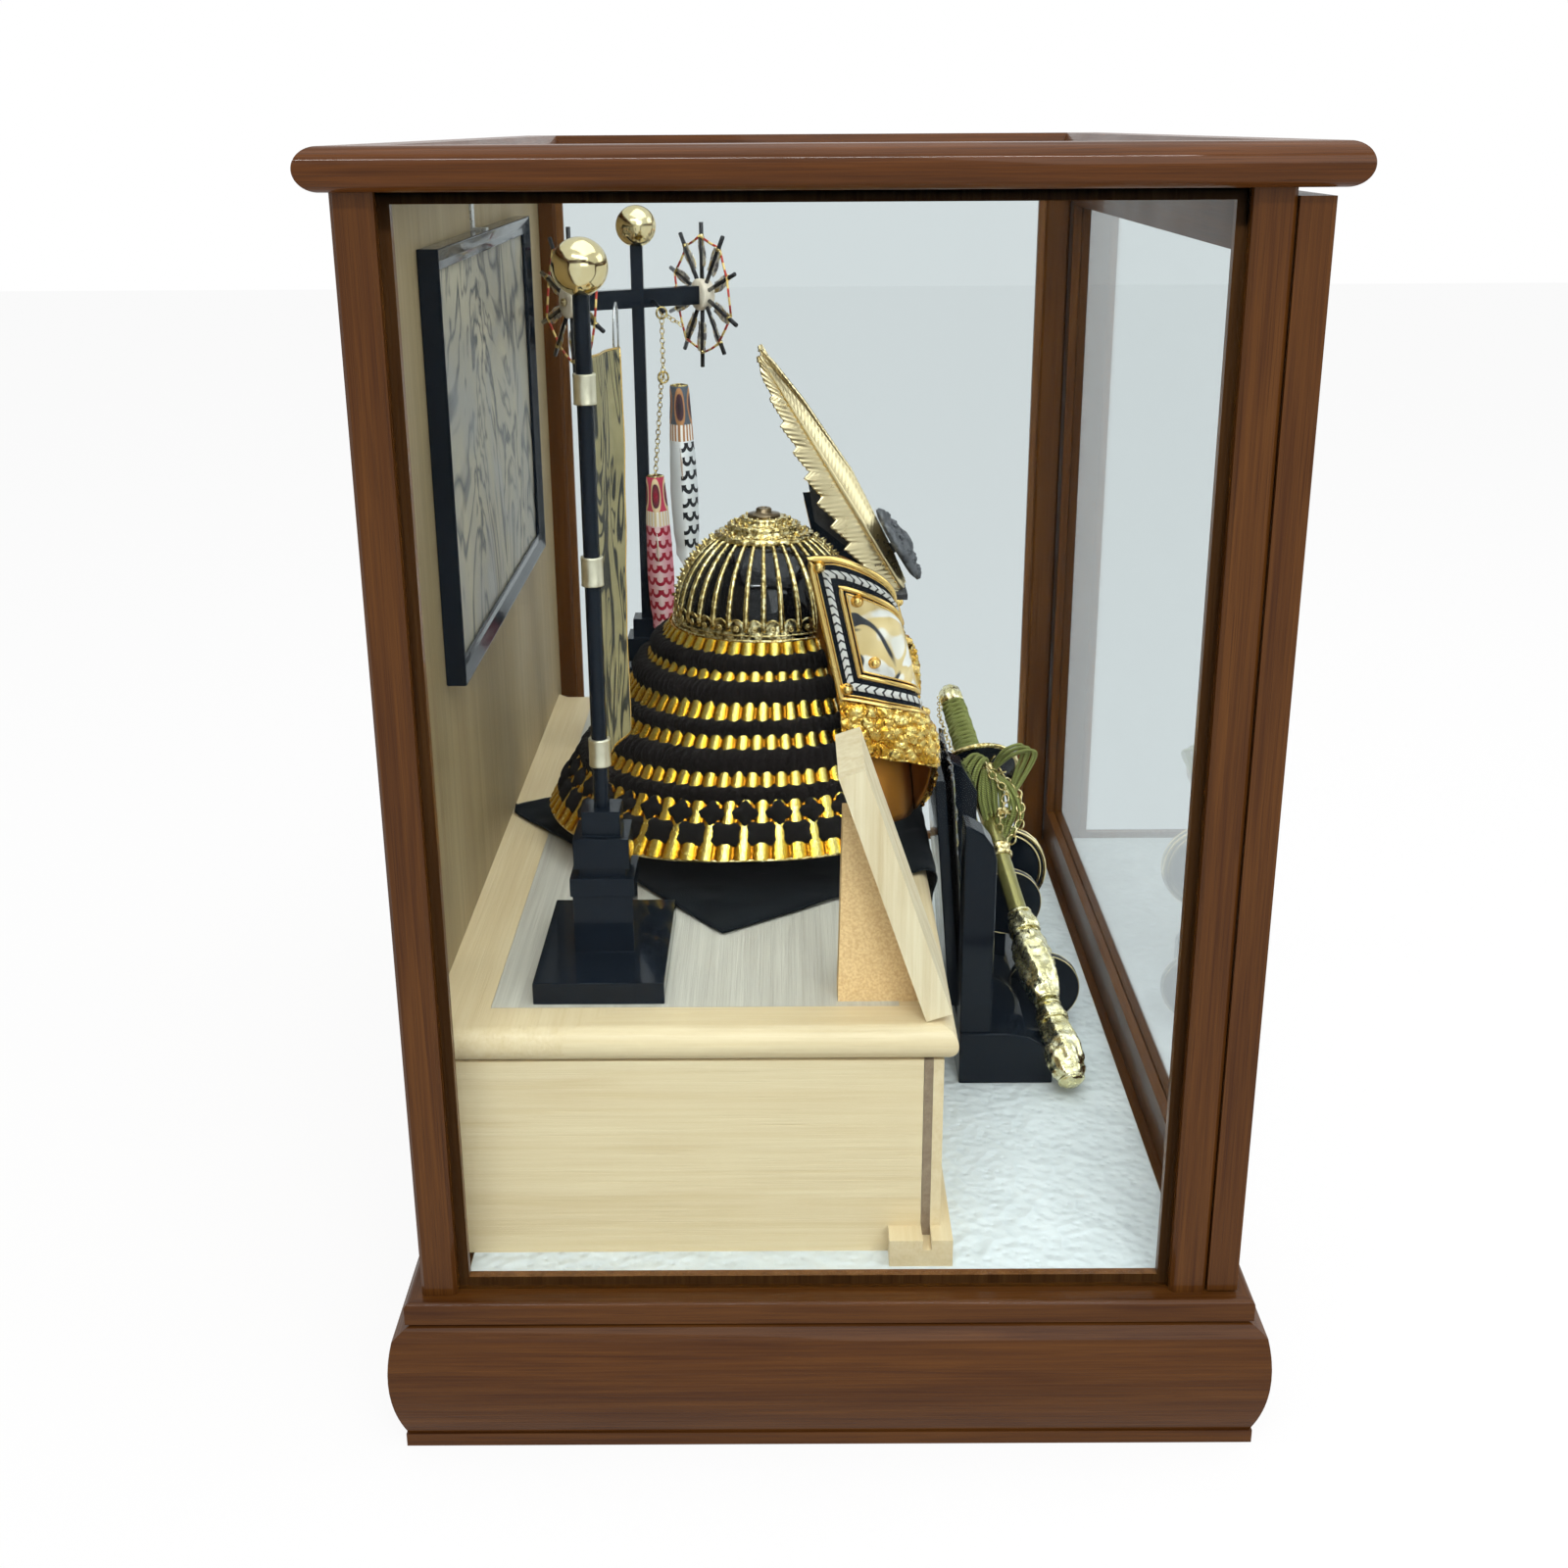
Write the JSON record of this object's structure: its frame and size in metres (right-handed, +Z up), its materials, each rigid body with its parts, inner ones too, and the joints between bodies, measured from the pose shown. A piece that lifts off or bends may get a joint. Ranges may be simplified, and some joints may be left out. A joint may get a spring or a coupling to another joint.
{
  "type": "glazed display case",
  "caption": "Free-standing glazed wooden display case with a hinged front door, a raised platform, and a miniature samurai helmet set inside.",
  "frame": {"origin": "centre of the foot of the plinth, on the surface that the case stands on", "axes": "+X towards the right-hand end seen from the door, -Y towards the door, +Z up"},
  "size_m": [0.598, 0.396, 0.562],
  "materials": {
    "case_wood": "glossy red-brown lacquered hardwood",
    "back_ply": "tan wood veneer board",
    "base_ply": "bare plywood",
    "floor_paper": "white embossed sheet",
    "glass": "clear float glass",
    "steel": "zinc-plated steel",
    "brass": "polished brass",
    "pale_wood": "pale clear-lacquered wood",
    "grained_panel": "grey-beige grained panel",
    "fibreboard": "fibreboard",
    "black_lacquer": "glossy black lacquer",
    "picture_leaf": "grey-gold swirled cloth",
    "black_cloth": "black satin",
    "black_card": "black card",
    "gold_plate": "gold-plated metal",
    "gold_lame": "corrugated gold plates with black silk lacing",
    "dark_metal": "blackened metal",
    "pine": "planed pine",
    "brocade": "olive-gold brocade",
    "wheel_wood": "black rods with gilt vanes",
    "streamer_cloth": "printed streamer cloth",
    "scabbard_lacquer": "olive-gold lacquer",
    "green_wrap": "olive-green silk wrap"
  },
  "bodies": {
    "case": {"back_panel": "back_ply", "back_posts": "case_wood", "base_board": "base_ply", "block_screws": "steel", "bowl_band": "gold_plate", "brow_peak": "gold_plate", "carp_arm": "black_lacquer", "carp_base": "black_lacquer", "carp_pole": "black_lacquer", "carp_streamers": "streamer_cloth", "catch_magnet": "steel", "crest_backing": "black_lacquer", "crest_boss": "dark_metal", "crest_plate": "gold_plate", "crown_fitting": "gold_plate", "flag_bands": "brass", "flag_base": "black_lacquer", "flag_cloth": "brocade", "flag_pole": "black_lacquer", "floor_sheet": "floor_paper", "front_posts": "case_wood", "glass_beads": "case_wood", "helmet_bowl": "black_lacquer", "helmet_cloth": "black_cloth", "helmet_pedestal": "black_card", "hinge_bushes": "brass", "neck_guard_lames": "gold_lame", "picture_frame": "black_lacquer", "picture_hanger": "brass", "picture_panel": "picture_leaf", "plaque_board": "pine", "plaque_easel": "fibreboard", "platform_end_boards": "pale_wood", "platform_facia": "fibreboard", "platform_facia_trim": "pale_wood", "platform_foot_rail": "pale_wood", "platform_panel": "grained_panel", "platform_top_rails": "pale_wood", "plinth_corner_blocks": "base_ply", "plinth_rails": "case_wood", "pole_balls": "gold_plate", "side_glasses": "glass", "side_wings": "gold_plate", "streamer_chain": "brass", "sword_guard": "gold_plate", "sword_hilt": "green_wrap", "sword_scabbard": "scabbard_lacquer", "sword_stand": "black_lacquer", "top_glass": "glass", "top_rails": "case_wood", "wheel_axles": "brass"},
    "door": {"door_hinge_stile": "case_wood", "door_lock_stile": "case_wood", "door_rails": "case_wood", "door_glass": "glass", "door_pivot_pins": "steel", "catch_plate": "steel"},
    "front_wheel": {"front_wind_wheel": "wheel_wood"},
    "back_wheel": {"back_wind_wheel": "wheel_wood"}
  },
  "joints": [
    {"name": "door_swing", "type": "hinge", "parent": "case", "child": "door", "pos_m": [0.279, -0.1786, 0.3], "axis": [0, 0, 1], "range_deg": [0, 110]},
    {"name": "front_wheel_spin", "type": "hinge", "parent": "case", "child": "front_wheel", "pos_m": [0.19341, 0.0688, 0.469], "axis": [0.5225, -0.8526, 0], "continuous": true},
    {"name": "back_wheel_spin", "type": "hinge", "parent": "case", "child": "back_wheel", "pos_m": [0.14659, 0.1452, 0.469], "axis": [0.5225, -0.8526, 0], "continuous": true}
  ]
}
